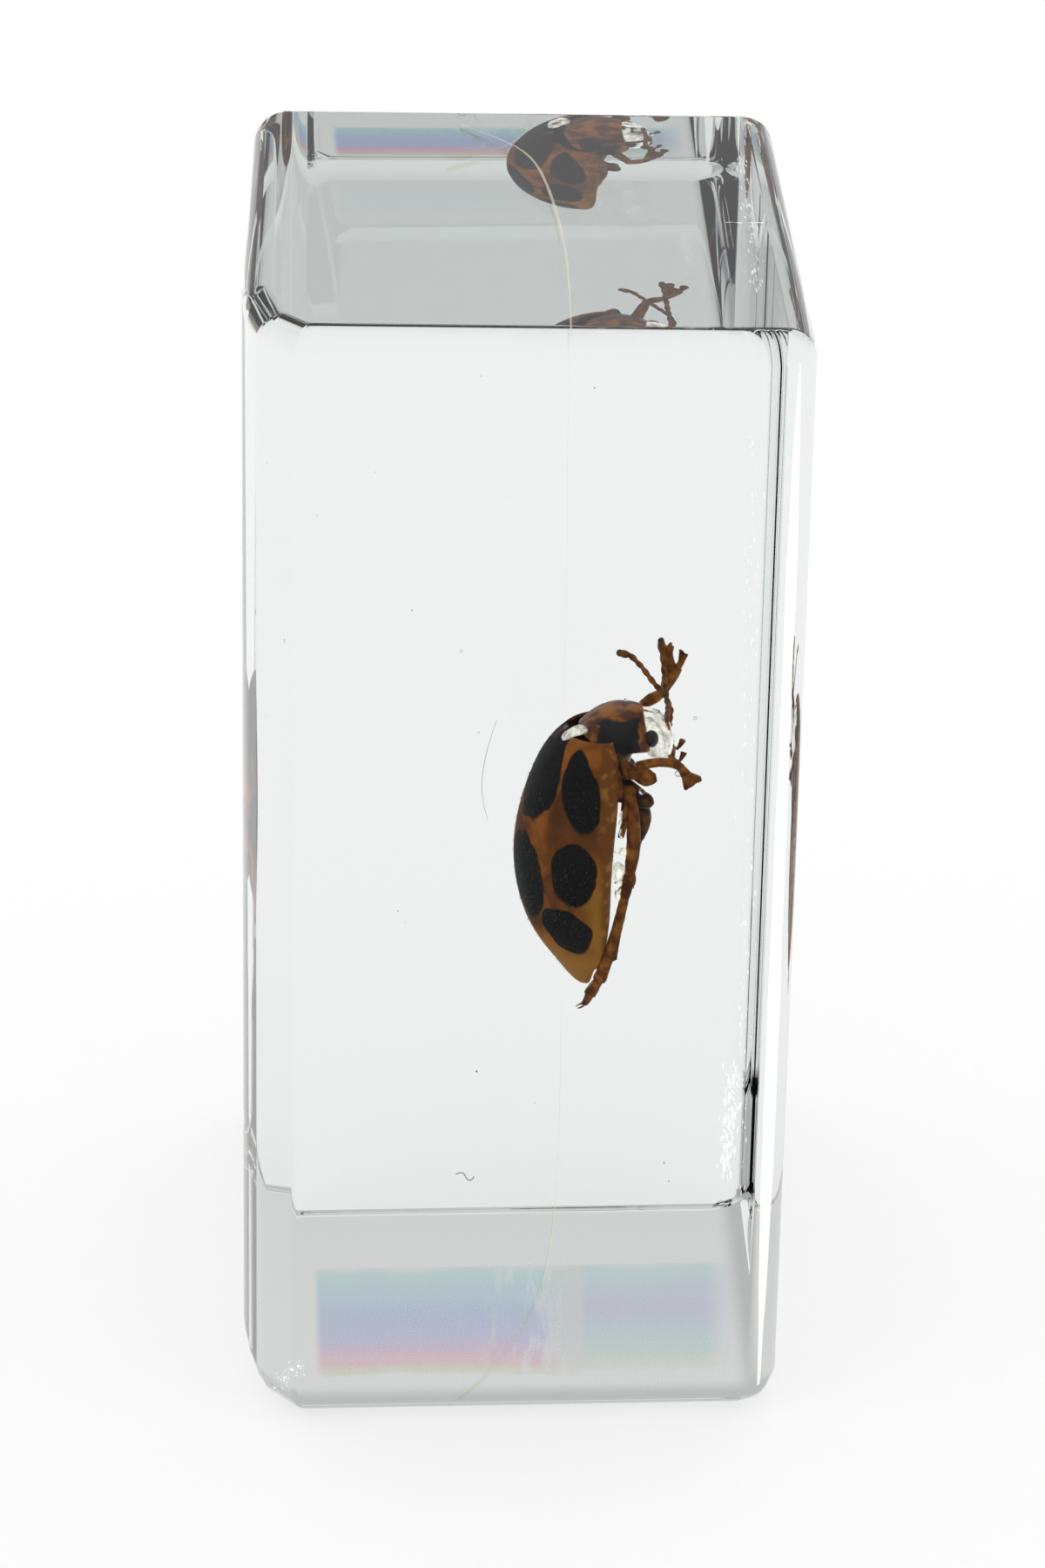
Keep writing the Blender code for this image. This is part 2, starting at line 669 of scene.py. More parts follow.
@dataclass(frozen=True)
class NeckShieldChitin:
    """Chitin of the neck shield: satin orange-brown with a black wedge on each side."""

    orange: str = "b26a1e"
    brown: str = "5e2a0c"
    black: str = "070609"
    # Middle and half-size of the wedge along X and along Z, in millimetres
    wedge: tuple[tuple[str, float, float], ...] = (("X", 4.02, 0.95), ("Z", 24.78, 0.68))
    # How far off the middle line the wedge begins and is full, in millimetres
    side_from: float = 1.0
    side_full: float = 1.3

    def material(self) -> Material:
        """Build the marked shield."""
        surface = Surface("neck_shield_chitin")
        step = surface.calculate
        parts = []
        for axis, middle, half in self.wedge:
            offset = step("ABSOLUTE", step("SUBTRACT", surface.axis(axis), middle * MM))
            parts.append(step("DIVIDE", offset, half * MM))
        ragged = step("MULTIPLY", surface.noise(0.6, 4.0), 0.8)
        edge = step("ADD", step("MAXIMUM", *parts), ragged)
        side = step("ABSOLUTE", step("SUBTRACT", surface.axis("Y"), BEETLE_Y * MM))
        beside = surface.ramp(side, self.side_from * MM, self.side_full * MM)
        wedge = step("MULTIPLY", step("SUBTRACT", 1.0, surface.ramp(edge, 1.18, 1.30)), beside)
        colour = surface.blend(surface.patches(0.8, 5.0, 0.42, 0.62), self.brown, self.orange)
        return surface.shaded({
            "Base Color": surface.blend(wedge, colour, self.black),
            "Roughness": 0.4,
            "Specular IOR Level": 0.2,
            "Normal": surface.bump(surface.noise(0.09, 2.0), 0.01, 0.4),
        })


@dataclass(frozen=True)
class LimbChitin:
    """Thin amber chitin that light shines through, darker in patches."""

    name: str
    light: str = "b97429"
    dark: str = "693511"
    patch_mm: float = 0.42
    see_through: float = 0.4

    def material(self) -> Material:
        """Build the see-through chitin."""
        surface = Surface(self.name)
        stain = surface.patches(self.patch_mm, 5.0, 0.36, 0.66)
        return surface.shaded({
            "Base Color": surface.blend(stain, self.dark, self.light),
            "Roughness": 0.28,
            "IOR": 1.15,
            "Specular IOR Level": 0.8,
            "Transmission Weight": self.see_through,
            "Normal": surface.bump(surface.noise(0.08), 0.02, 0.7),
        })


@dataclass(frozen=True)
class DarkChitin:
    """Brown-black chitin of the head, breast and belly: satin, with amber in patches."""

    name: str = "dark_belly_chitin"
    dark: str = "1d120b"
    amber: str = "7d5421"
    patch_mm: float = 0.7
    least: float = 0.5
    roughness: float = 0.35

    def material(self) -> Material:
        """Build the dark chitin."""
        surface = Surface(self.name)
        patches = surface.patches(self.patch_mm, 5.0, self.least, self.least + 0.16)
        return surface.shaded({
            "Base Color": surface.blend(patches, self.dark, self.amber),
            "Roughness": self.roughness,
            "Specular IOR Level": 0.6,
            "Normal": surface.bump(surface.noise(0.1), 0.03, 0.8),
        })


@dataclass(frozen=True)
class FacetedEye:
    """A compound eye: near-black, with a fine honeycomb of lenses that breaks its shine."""

    lens_mm: float = 0.07
    tone: str = "17161b"

    def material(self) -> Material:
        """Build the eye."""
        surface = Surface("faceted_eye_chitin")
        lenses = surface.calculate("SUBTRACT", 1.0, surface.cells(self.lens_mm))
        return surface.shaded({
            "Base Color": linear(self.tone),
            "Roughness": 0.3,
            "Normal": surface.bump(lenses, 0.02, 0.8),
        })


@dataclass(frozen=True)
class TrappedAir:
    """Air caught between resin and chitin: its skin mirrors like crumpled silver leaf.

    It throws all the light of the room back from many sides. That shine is painted: patches of its skin give
    off silver light, though it is no lamp.
    """

    name: str
    silver: str = "f4f1e6"
    crease_mm: float = 0.5
    see_through: float = 0.15
    roughness: float = 0.16
    painted_glint_strength: float = 0.62

    def material(self) -> Material:
        """Build the mirror-like skin, open here and there."""
        surface = Surface(self.name)
        painted_glint = surface.patches(self.crease_mm * 1.2, 5.0, 0.36, 0.58)
        torn = surface.patches(self.crease_mm * 1.6, 4.0, 0.56, 0.6)
        creases = surface.cells(self.crease_mm, "F2")
        return surface.shaded(
            {
                "Base Color": linear(self.silver),
                "Metallic": 0.6,
                "Roughness": self.roughness,
                # Painted highlights: the skin gives off silver light in patches
                "Emission Color": linear(self.silver),
                "Emission Strength": surface.calculate("MULTIPLY", painted_glint, self.painted_glint_strength),
                "Normal": surface.bump(creases, self.crease_mm * 0.25, 0.8),
            },
            holes=surface.calculate("MAXIMUM", torn, self.see_through),
        )


@dataclass(frozen=True)
class AirBubble:
    """A smooth bubble in resin: clear in the middle, with a dark rim where light turns back.

    Light meets thinner air inside the resin, which bends it as strongly as this index does.
    """

    ior: float = 1.35

    def material(self) -> Material:
        """Build the bubble's wall."""
        wall = {"Base Color": WHITE, "Roughness": 0.0, "IOR": self.ior, "Transmission Weight": 1.0}
        return Surface("air_bubble_wall").shaded(wall)


@dataclass(frozen=True)
class PaleHair:
    """Short body hair: straw-grey chitin bristles that catch the light as pale points."""

    root: str = "2e2824"
    tip: str = "9c9385"

    def material(self) -> Material:
        """Build the hair."""
        surface = Surface("pale_body_hair")
        tone = surface.blend(surface.noise(0.4), self.root, self.tip)
        return surface.shaded({"Base Color": tone, "Roughness": 0.5})


@dataclass(frozen=True)
class FrostedResin:
    """Broken or roughened resin: its walls scatter light, so that it looks white.

    Attributes:
        name: The material's name.
        tone: Its colour, which its painted light also gives off in the dark.
        see_through: The share of light that passes straight on.
        painted_glow: How strongly it shines of itself: painted light standing for what its broken walls
            scatter.
    """

    name: str = "frosted_resin_nick"
    tone: str = "fbfbf8"
    see_through: float = 0.45
    painted_glow: float = 0.5

    def material(self) -> Material:
        """Build the broken resin."""
        surface = Surface(self.name)
        look = {
            "Base Color": linear(self.tone),
            "Roughness": 0.5,
            # Painted light: the broken resin shines of itself, though it is no lamp
            "Emission Color": linear(self.tone),
            "Emission Strength": self.painted_glow,
            "Normal": surface.bump(surface.noise(0.1), 0.05),
        }
        return surface.shaded(look, holes=self.see_through)


@dataclass(frozen=True)
class LooseDust:
    """Dust that fell into the resin before it set: grey-brown specks and fibres."""

    name: str = "trapped_dust"
    light: str = "8d8a84"
    dark: str = "3d3a37"

    def material(self) -> Material:
        """Build the dust."""
        surface = Surface(self.name)
        tone = surface.blend(surface.patches(3.0, 3.0, 0.4, 0.6), self.light, self.dark)
        return surface.shaded({"Base Color": tone, "Roughness": 0.7})


@dataclass(frozen=True)
class PourSkin:
    """The skin between two pours of resin: almost clear, straw-yellow where it meets a face."""

    straw: str = "e2dcae"
    clear: str = "ffffff"
    face_mm: float = 1.1
    front_share: float = 0.45

    def material(self, front: float, top: float) -> Material:
        """Build the skin.

        Args:
            front: Where the block's front face is along Y, in millimetres.
            top: How high the block's top is, in millimetres.

        Returns:
            The material.
        """
        surface = Surface("pour_skin_resin")
        near_front = surface.ramp(surface.axis("Y"), (front + self.face_mm) * MM, front * MM)
        near_front = surface.calculate("MULTIPLY", near_front, self.front_share)
        near_top = surface.ramp(surface.axis("Z"), (top - self.face_mm) * MM, top * MM)
        edge = surface.calculate("MAXIMUM", near_front, near_top)
        share = surface.calculate("MULTIPLY", edge, surface.patches(2.5, 4.0, 0.25, 0.6))
        return surface.tinted(surface.blend(share, self.clear, self.straw))


@dataclass(frozen=True)
class StrainColours:
    """Resin strained as it shrank: pale bands of blue, violet and pink low behind the front face."""

    # Colour of the bands, from the lowest up
    left_bands: tuple[tuple[float, str], ...] = (
        (0.0, "ffffff"), (0.05, "f6f4e4"), (0.13, "fbdfe4"), (0.22, "f2dcee"), (0.36, "dfe0f6"),
        (0.55, "d9e2f6"), (0.74, "dcebf6"), (0.88, "dff3f2"), (1.0, "ffffff"),
    )
    right_bands: tuple[tuple[float, str], ...] = (
        (0.0, "ffffff"), (0.08, "f4f7ee"), (0.2, "e6f3f0"), (0.38, "e3ecf4"), (0.55, "e6e5f4"),
        (0.72, "e4e9f6"), (0.88, "e4f4f4"), (1.0, "ffffff"),
    )
    low_z: float = 1.95
    high_z: float = 7.0
    left_x: float = -7.95
    middle_x: float = 1.45
    right_x: float = 8.4
    # The plain strip between the two sets of bands, and the feathering beside the seam
    strip_tone: str = "f6f6f4"
    strip_x: float = 0.2
    feather_tone: str = "fffffd"
    feather_x: float = 0.2
    feather_lean: float = 32.0

    def banded(
        self, surface: Surface, along: NodeSocket, bands: tuple[tuple[float, str], ...]
    ) -> NodeSocket:
        """Return the colour of the bands at a share of the way up."""
        made = surface.add("ShaderNodeValToRGB", inputs={0: along})
        made.color_ramp.interpolation = "EASE"
        while len(made.color_ramp.elements) < len(bands):
            made.color_ramp.elements.new(0.5)
        for stop, (place, colour) in zip(made.color_ramp.elements, bands, strict=True):
            stop.position = place
            stop.color = linear(colour)
        return made.outputs["Color"]

    def feathered(self, surface: Surface, colour: NodeSocket) -> NodeSocket:
        """Add fine bright feathering beside the seam, drawn out upwards and to the right."""
        drawn_out = {
            "Vector": surface.place,
            "Rotation": (0.0, math.radians(self.feather_lean), 0.0),
            "Scale": (1.0, 1.0, 0.2),
        }
        stretched = surface.add("ShaderNodeMapping", inputs=drawn_out).outputs[0]
        feather = surface.ramp(surface.noise(0.3, 4.0, stretched), 0.46, 0.66)
        beside = surface.calculate("SUBTRACT", surface.axis("X"), self.feather_x * MM)
        near = surface.ramp(surface.calculate("ABSOLUTE", beside), 2.2 * MM, 0.3 * MM)
        share = surface.calculate("MULTIPLY", surface.calculate("MULTIPLY", feather, near), 0.6)
        return surface.blend(share, colour, self.feather_tone)

    def material(self) -> Material:
        """Build the bands."""
        # Painted light: the bands are the colours that light shows in the strained resin, laid on a tinted
        # sheet
        surface = Surface("strained_resin")
        step, ramp = surface.calculate, surface.ramp
        wander = step("MULTIPLY", step("SUBTRACT", surface.noise(3.0, 4.0), 0.5), 0.7 * MM)
        shifted = step("ADD", surface.axis("Z"), wander)
        along = step("SUBTRACT", shifted, self.low_z * MM)
        along = step("DIVIDE", along, (self.high_z - self.low_z) * MM)
        left = self.banded(surface, along, self.left_bands)
        right = self.banded(surface, along, self.right_bands)
        x = surface.axis("X")
        east = ramp(x, (self.middle_x - 0.25) * MM, (self.middle_x + 0.25) * MM)
        colour = surface.blend(east, left, right)
        strip = step("ABSOLUTE", step("SUBTRACT", x, (self.middle_x + self.strip_x) * MM))
        strip = step("MULTIPLY", ramp(strip, 0.85 * MM, 0.6 * MM), 0.55)
        colour = surface.blend(strip, colour, self.strip_tone)
        colour = self.feathered(surface, colour)
        west = ramp(x, self.left_x * MM, (self.left_x + 0.35) * MM)
        faded = ramp(x, self.right_x * MM, (self.right_x - 1.6) * MM)
        return surface.tinted(surface.blend(step("MULTIPLY", west, faded), WHITE, colour))


# ---------------------------------------------------------------------------- the block


@dataclass
class ResinBlock:
    """The cast block: sawn slightly out of square, with hand-polished rounded edges."""

    width: float = 20.6
    depth: float = 28.0
    height: float = 44.0
    lean_deg: float = 1.5
    # The flats ground on the front left corner: how far each goes along X and along Y
    corner_flats: tuple[tuple[float, float], ...] = ((0.7, 3.3), (1.35, 1.7))
    round_flats: tuple[float, ...] = (1.5, 0.45, 0.12)
    round_left: float = 2.1
    round_right: float = 1.2
    round_top: float = 1.1
    round_base: float = 1.6
    round_base_back: float = 0.3
    segments: int = 16
    saw_spare: float = 2.0
    finish: CastingResin = field(default_factory=CastingResin)

    def shift_x(self) -> float:
        """Return how far the base's middle stands from the origin, in millimetres."""
        return -self.height * math.tan(math.radians(self.lean_deg)) / 2

    def flat_edges(self) -> list[tuple[float, float]]:
        """Return where the flats' upright edges stand along X and Y, from left to front."""
        x = -self.width / 2
        y = -self.depth / 2 + sum(deep for _, deep in self.corner_flats)
        edges = [(x, y)]
        for across, deep in self.corner_flats:
            x, y = x + across, y - deep
            edges.append((x, y))
        return edges

    def cut_off(self, place: Vector, outwards: Vector) -> None:
        """Cut away all of the edited mesh that lies beyond a plane, and close the cut.

        Args:
            place: A point of the plane, in millimetres.
            outwards: The way to the side that goes.
        """
        bpy.ops.mesh.select_all(action="SELECT")
        bpy.ops.mesh.bisect(
            plane_co=place * MM, plane_no=outwards.normalized(), use_fill=True, clear_outer=True
        )

    def sawn_box(self) -> Object:
        """Make the sharp box with its ground corner, turned by its lean and cut flat."""
        deselect_all()
        tall = self.height + self.saw_spare
        bpy.ops.mesh.primitive_cube_add(size=1.0, location=(0.0, 0.0, 0.0))
        box = bpy.context.active_object
        with editing(box):
            bpy.ops.mesh.select_all(action="SELECT")
            bpy.ops.transform.resize(value=(self.width * MM, self.depth * MM, tall * MM))
            bpy.ops.transform.translate(value=(0.0, 0.0, (self.height - tall / 2) * MM))
            for (x, y), (across, deep) in zip(self.flat_edges(), self.corner_flats):
                self.cut_off(Vector((x, y, 0.0)), Vector((-deep, -across, 0.0)))
            bpy.ops.mesh.select_all(action="SELECT")
            bpy.ops.transform.rotate(
                value=-math.radians(self.lean_deg), orient_axis="Y", center_override=(0.0, 0.0, 0.0)
            )
            bpy.ops.transform.translate(value=(self.shift_x() * MM, 0.0, 0.0))
            self.cut_off(Vector((0.0, 0.0, 0.0)), Vector((0.0, 0.0, -1.0)))
        return box

    def round_of(self, edge: MeshEdge, mesh: Mesh) -> float:
        """Return the rounding radius of one edge, from where the edge is."""
        first, last = (mesh.vertices[index].co for index in edge.vertices)
        middle = (first + last) / 2
        if abs((last - first).normalized().z) > 0.9:
            if middle.x > 0.0:
                return self.round_right
            for (_, y), reach in zip(self.flat_edges(), self.round_flats):
                if abs(middle.y - y * MM) < 0.1 * MM:
                    return reach
            return self.round_left
        if middle.z > self.height * MM / 2:
            return self.round_top
        return self.round_base_back if middle.y > self.depth * MM * 0.49 else self.round_base

    def build(self) -> None:
        """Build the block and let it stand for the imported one."""
        box = self.sawn_box()
        widest = max(self.round_left, self.round_right, self.round_top, self.round_base)
        weights = box.data.attributes.new("bevel_weight_edge", "FLOAT", "EDGE")
        for edge in box.data.edges:
            weights.data[edge.index].value = self.round_of(edge, box.data) / widest
        bevel = box.modifiers.new("polished_edges", "BEVEL")
        bevel.limit_method = "WEIGHT"
        bevel.width = widest * MM
        bevel.segments = self.segments
        bevel.use_clamp_overlap = False
        bevel.harden_normals = True
        box.data.shade_smooth()
        apply_modifiers(box)
        finish_piece(box, "resin_block_smooth", self.finish.material())
        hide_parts("resin_block")


# ---------------------------------------------------------------------------- the beetle


@dataclass
class WingCases:
    """The two domed wing cases, their rolled-under rims, and their coat of short hair."""

    # Foot, height, reach and half-width of the dome, from the shoulders to the tail
    dome: tuple[Station, ...] = stations(
        (3.62, 24.72, 1.62, 2.60), (3.68, 24.40, 2.12, 3.00), (3.76, 23.70, 2.72, 3.50),
        (3.76, 22.80, 3.10, 3.85), (3.70, 21.80, 3.38, 4.05), (3.56, 20.50, 3.54, 4.15),
        (3.46, 19.20, 3.48, 4.08), (3.44, 18.00, 3.29, 3.86), (3.38, 16.90, 2.92, 3.45),
        (3.24, 15.90, 2.23, 2.78), (3.08, 15.10, 1.45, 2.05), (2.98, 14.50, 0.93, 1.40),
        (2.90, 14.10, 0.50, 0.80), (2.84, 13.90, 0.18, 0.30),
    )
    rim_out: float = 0.20
    rim_turn: float = 0.12
    seam_gap: float = 0.03
    wall: float = 0.10
    hair_long: float = 0.075
    hair_thick: float = 0.008
    hairs_per_mm2: float = 9.0
    chitin: SpottedChitin = field(default_factory=SpottedChitin)
    hair: PaleHair = field(default_factory=PaleHair)

    def on_foot(self, place: Vector) -> bool:
        """Say whether a place is on the dome's lower edge."""
        return any(
            abs(place.x - section.x) < 0.004
            and abs(place.z - section.z) < 0.004
            and abs(abs(place.y - BEETLE_Y) - section.wide) < 0.004
            for section in self.dome[:-3]
        )

    def whole_dome(self) -> Object:
        """Loft the dome, close its tail, and roll its lower edge under."""
        shell = loft(self.dome, sides=48, arch=True)
        tail = self.dome[-1]
        middle = (0.0, BEETLE_Y * MM, 0.0)
        with editing(shell):
            pick(shell, self.on_foot)
            for outward, narrower in ((self.rim_out * 0.5, 0.995), (self.rim_out * 0.5, 0.95), (0.06, 0.86)):
                bpy.ops.mesh.extrude_edges_move()
                bpy.ops.transform.translate(value=(outward * MM, 0.0, 0.0))
                bpy.ops.transform.resize(value=(1.0, narrower, 1.0), center_override=middle)
            pick(shell, lambda place: place.z < tail.z + 0.01)
            bpy.ops.mesh.merge(type="CENTER")
        clean_shell(shell)
        smooth(shell, 2)
        return shell

    def half(self, dome: Object, side: int) -> Object:
        """Cut one wing case from the dome and give it its wall.

        Args:
            dome: The whole dome, which is kept.
            side: -1 for the right case, 1 for the left one.

        Returns:
            The wing case.
        """
        case = copy_of(dome)
        cut = (BEETLE_Y + side * self.seam_gap / 2) * MM
        with editing(case):
            bpy.ops.mesh.select_all(action="SELECT")
            bpy.ops.mesh.bisect(
                plane_co=(0.0, cut, 0.0), plane_no=(0.0, -side, 0.0), clear_outer=True
            )
        add_wall(case, self.wall, sharp_deg=50.0)
        case.data.shade_smooth()
        return case

    def hair_tree(self, bristle: Object) -> NodeTree:
        """Make the nodes that sow a bristle over a surface, leaning towards the tail."""
        tree = bpy.data.node_groups.new("hair_coat", "GeometryNodeTree")
        tree.interface.new_socket("Geometry", in_out="INPUT", socket_type="NodeSocketGeometry")
        tree.interface.new_socket("Geometry", in_out="OUTPUT", socket_type="NodeSocketGeometry")
        nodes = Nodes(tree)
        start = nodes.add("NodeGroupInput")
        points = nodes.add(
            "GeometryNodeDistributePointsOnFaces",
            inputs={"Mesh": start.outputs[0], "Density": self.hairs_per_mm2 / MM**2, "Seed": 4},
        )
        lean = nodes.add(
            "ShaderNodeVectorMath",
            {"operation": "MULTIPLY_ADD"},
            {0: points.outputs["Normal"], 1: (0.75, 0.75, 0.75), 2: (0.0, 0.0, -0.9)},
        )
        turn = nodes.add(
            "FunctionNodeAlignRotationToVector", {"axis": "Z"}, {"Vector": lean.outputs[0]}
        )
        length = nodes.add(
            "FunctionNodeRandomValue",
            {"data_type": "FLOAT_VECTOR"},
            {0: (0.7, 0.7, 0.5), 1: (1.1, 1.1, 1.25), "Seed": 9},
        )
        source = nodes.add("GeometryNodeObjectInfo", inputs={"Object": bristle})
        sown = nodes.add(
            "GeometryNodeInstanceOnPoints",
            inputs={
                "Points": points.outputs["Points"],
                "Instance": source.outputs["Geometry"],
                "Rotation": turn.outputs[0],
                "Scale": length.outputs[0],
            },
        )
        real = nodes.add("GeometryNodeRealizeInstances", inputs={0: sown.outputs[0]})
        nodes.add("NodeGroupOutput", inputs={0: real.outputs[0]})
        return tree

    def hair_coat(self, dome: Object) -> Object:
        """Cover a copy of the dome with bristles and keep only them."""
        root = self.hair_thick
        bristle = loft(
            (
                Station(0.0, -0.02, root, root, y=0.0),
                Station(0.0, self.hair_long * 0.6, root * 0.7, root * 0.7, y=0.0),
                Station(0.02, self.hair_long, root * 0.2, root * 0.2, y=0.0),
            ),
            sides=4,
        )
        coat = copy_of(dome)
        sowing = coat.modifiers.new("hair_coat", "NODES")
        sowing.node_group = self.hair_tree(bristle)
        apply_modifiers(coat)
        bpy.data.objects.remove(bristle)
        return coat

    def build(self) -> None:
        """Build both wing cases and their hair."""
        dome = self.whole_dome()
        chitin = self.chitin.material()
        finish_piece(self.half(dome, -1), "right_wing_case", chitin)
        finish_piece(self.half(dome, 1), "left_wing_case", chitin)
        finish_piece(self.hair_coat(dome), "wing_case_hair", self.hair.material())
        bpy.data.objects.remove(dome)


@dataclass
class NeckShield:
    """The saddle-shaped shield between the wing cases and the head, with its plate behind."""

    saddle: tuple[Station, ...] = stations(
        (3.72, 24.16, 1.36, 2.45, 31.0), (3.95, 24.22, 1.44, 2.62, 41.0),
        (4.28, 24.28, 1.52, 2.62, 53.0), (4.60, 24.28, 1.57, 2.50, 63.0),
        (4.95, 24.22, 1.56, 2.20, 73.0), (5.22, 24.12, 1.52, 1.85, 79.0),
        (5.26, 24.16, 1.36, 1.62, 80.0),
    )
    wall: float = 0.09
    chitin: NeckShieldChitin = field(default_factory=NeckShieldChitin)

    def build(self) -> None:
        """Build the shield and the little plate behind it."""
        shield = loft(self.saddle, sides=40, arch=True)
        smooth(shield, 2)
        add_wall(shield, self.wall)
        crumple(shield, 0.8, 0.05)
        finish_piece(shield, "neck_shield", self.chitin.material())
        plate = loft(stations(
            (2.16, 24.80, 0.08, 0.42, 10.0), (1.92, 24.55, 0.08, 0.36, 10.0),
            (1.62, 24.22, 0.06, 0.05, 10.0),
        ), sides=16)
        smooth(plate, 2)
        dark = DarkChitin(name="back_plate_chitin", dark="26160c", least=0.55)
        finish_piece(plate, "back_plate", dark.material())


@dataclass
class Head:
    """The head under its crumpled air skin, with eyes, jaws, feelers and mouth feelers."""

    skull: tuple[Station, ...] = stations(
        (4.75, 24.55, 0.75, 1.25, 70.0), (5.10, 24.48, 0.92, 1.45, 75.0),
        (5.50, 24.38, 0.92, 1.42, 82.0), (5.85, 24.20, 0.72, 1.10, 92.0),
        (6.05, 24.05, 0.45, 0.80, 100.0), (6.15, 23.98, 0.18, 0.45, 104.0),
    )
    eye_at: Point = (5.30, 0.20, 24.56)
    eye_half: Point = (0.30, 0.30, 0.36)
    # Each feeler as drawn, from its socket to its club
    upper_feeler: tuple[Point, ...] = (
        (5.95, 1.9, 24.45), (6.07, 2.2, 24.70), (6.14, 2.8, 25.05), (5.94, 3.3, 25.50),
        (5.52, 3.8, 25.89), (5.05, 4.3, 26.46), (4.64, 4.8, 26.80), (4.22, 5.0, 26.86),
    )
    lower_feeler: tuple[Point, ...] = (
        (5.88, 0.9, 24.55), (5.93, 1.2, 25.03), (6.02, 2.5, 25.25), (5.95, 3.6, 25.65),
        (5.93, 4.6, 26.08), (5.90, 5.2, 26.61), (5.83, 5.5, 27.20),
    )
    # Air caught between the hind leg and the belly: place and half-sizes
    leg_pockets: tuple[tuple[Point, Point], ...] = (
        ((4.02, -1.5, 19.46), (0.30, 0.22, 0.48)),
        ((4.16, -1.6, 20.38), (0.32, 0.18, 0.16)),
        ((4.14, -1.5, 21.45), (0.13, 0.12, 0.62)),
        ((3.98, -1.5, 18.55), (0.12, 0.12, 0.30)),
    )
    feeler_thick: float = 0.122
    joints: int = 11

    def beaded(self, route: Sequence[Point]) -> Object:
        """Make a feeler of narrow-waisted joints along a route.

        Args:
            route: Places from the socket to the tip, in millimetres.

        Returns:
            The feeler.
        """
        lengths = [0.0]
        for first, second in zip(route, route[1:]):
            lengths.append(lengths[-1] + (Vector(second) - Vector(first)).length)
        steps = self.joints * 4
        places, radii = [], []
        for step in range(steps + 1):
            want = lengths[-1] * step / steps
            leg = max(i for i, length in enumerate(lengths[:-1]) if length <= want + TINY)
            share = (want - lengths[leg]) / (lengths[leg + 1] - lengths[leg])
            places.append(tuple(Vector(route[leg]).lerp(Vector(route[leg + 1]), share)))
            waist = 0.62 + 0.38 * abs(math.sin(math.pi * step / 4))
            club = 1.0 + 0.55 * max(0.0, step / steps - 0.84) / 0.16
            root = 1.35 if step < 4 else 1.0
            radii.append(self.feeler_thick * waist * club * root)
        return tube(places, radii, 2)

    def build(self) -> None:
        """Build the head and all it carries."""
        dark = DarkChitin(name="head_chitin", dark="20160f", amber="54401f", least=0.52).material()
        amber = LimbChitin("amber_feeler_chitin", light="b06c2a", dark="623416")
        amber_material = amber.material()
        skull = loft(self.skull, sides=32)
        smooth(skull, 2)
        crumple(skull, 0.5, 0.06)
        finish_piece(skull, "head", dark)
        for name, side in (("right", -1), ("left", 1)):
            offset = side * (BEETLE_Y - self.eye_at[1])
            eye = ball((self.eye_at[0], BEETLE_Y + offset, self.eye_at[2]), self.eye_half, 4)
            finish_piece(eye, f"{name}_eye", FacetedEye().material())
            jaw = tube(
                [(5.75, BEETLE_Y + side * 0.55, 23.75), (6.05, BEETLE_Y + side * 0.5, 23.55),
                 (6.22, BEETLE_Y + side * 0.25, 23.42), (6.20, BEETLE_Y + side * 0.06, 23.36)],
                [0.2, 0.17, 0.1, 0.03],
            )
            finish_piece(jaw, f"{name}_jaw", amber_material)
            palp = join([
                tube([(5.95, BEETLE_Y + side * 0.75, 23.75), (6.2, BEETLE_Y + side * 0.95, 23.5),
                      (6.42, BEETLE_Y + side * 1.0, 23.5)], [0.07, 0.08, 0.06]),
                tube([(6.40, BEETLE_Y + side * 1.0, 23.5), (6.52, BEETLE_Y + side * 0.95, 23.68),
                      (6.58, BEETLE_Y + side * 0.9, 23.86)], [0.05, 0.11, 0.13]),
            ])
            finish_piece(palp, f"{name}_mouth_feeler", amber_material)
        lip = loft(stations(
            (6.02, 23.95, 0.26, 0.62, 110.0), (6.20, 23.72, 0.16, 0.52, 120.0),
            (6.26, 23.55, 0.07, 0.36, 130.0),
        ), sides=20)
        smooth(lip, 2)
        finish_piece(lip, "upper_lip", amber_material)
        for name, route in (("left", self.upper_feeler), ("right", self.lower_feeler)):
            tip = route[-1]
            finish_piece(self.beaded(route), f"{name}_feeler", amber_material)
            club = ball(tip, (0.13, 0.12, 0.15), 3)
            crumple(club, 0.12, 0.03)
            finish_piece(club, f"{name}_feeler_club", dark)
        self.build_air()

    def build_air(self) -> None:
        """Lay the crumpled skin of air over the head and in the neck gap."""
        skin = loft(stations(
            (4.98, 24.50, 0.88, 1.50, 76.0), (5.28, 24.44, 1.04, 1.64, 80.0),
            (5.62, 24.34, 1.02, 1.52, 86.0), (5.92, 24.18, 0.84, 1.22, 92.0),
            (6.12, 24.04, 0.52, 0.84, 98.0), (6.20, 23.98, 0.16, 0.35, 102.0),
        ), sides=32)
        smooth(skin, 2)
        crumple(skin, 0.28, 0.22, seed=1)
        crumple(skin, 0.11, 0.07, seed=2)
        silver = TrappedAir("crumpled_air_skin")
        finish_piece(skin, "air_skin_on_head", silver.material())
        pocket = loft(stations(
            (1.90, 24.52, 0.05, 0.35, 30.0, 0.60), (2.10, 24.72, 0.13, 0.60, 32.0, 0.45),
            (2.45, 24.95, 0.20, 0.62, 40.0, 0.25), (2.74, 25.02, 0.17, 0.45, 52.0, 0.20),
            (2.84, 25.04, 0.06, 0.20, 60.0, 0.20),
        ), sides=12)
        smooth(pocket, 1)
        crumple(pocket, 0.35, 0.16, seed=1)
        clear = TrappedAir("pocket_air", crease_mm=0.35, see_through=0.35).material()
        finish_piece(pocket, "air_pocket_at_neck", clear)
        for number, (place, half) in enumerate(self.leg_pockets, start=1):
            bubble = ball(place, half, 4)
            crumple(bubble, 0.22, 0.12, seed=number)
            finish_piece(bubble, f"air_pocket_at_leg_{number}", clear)


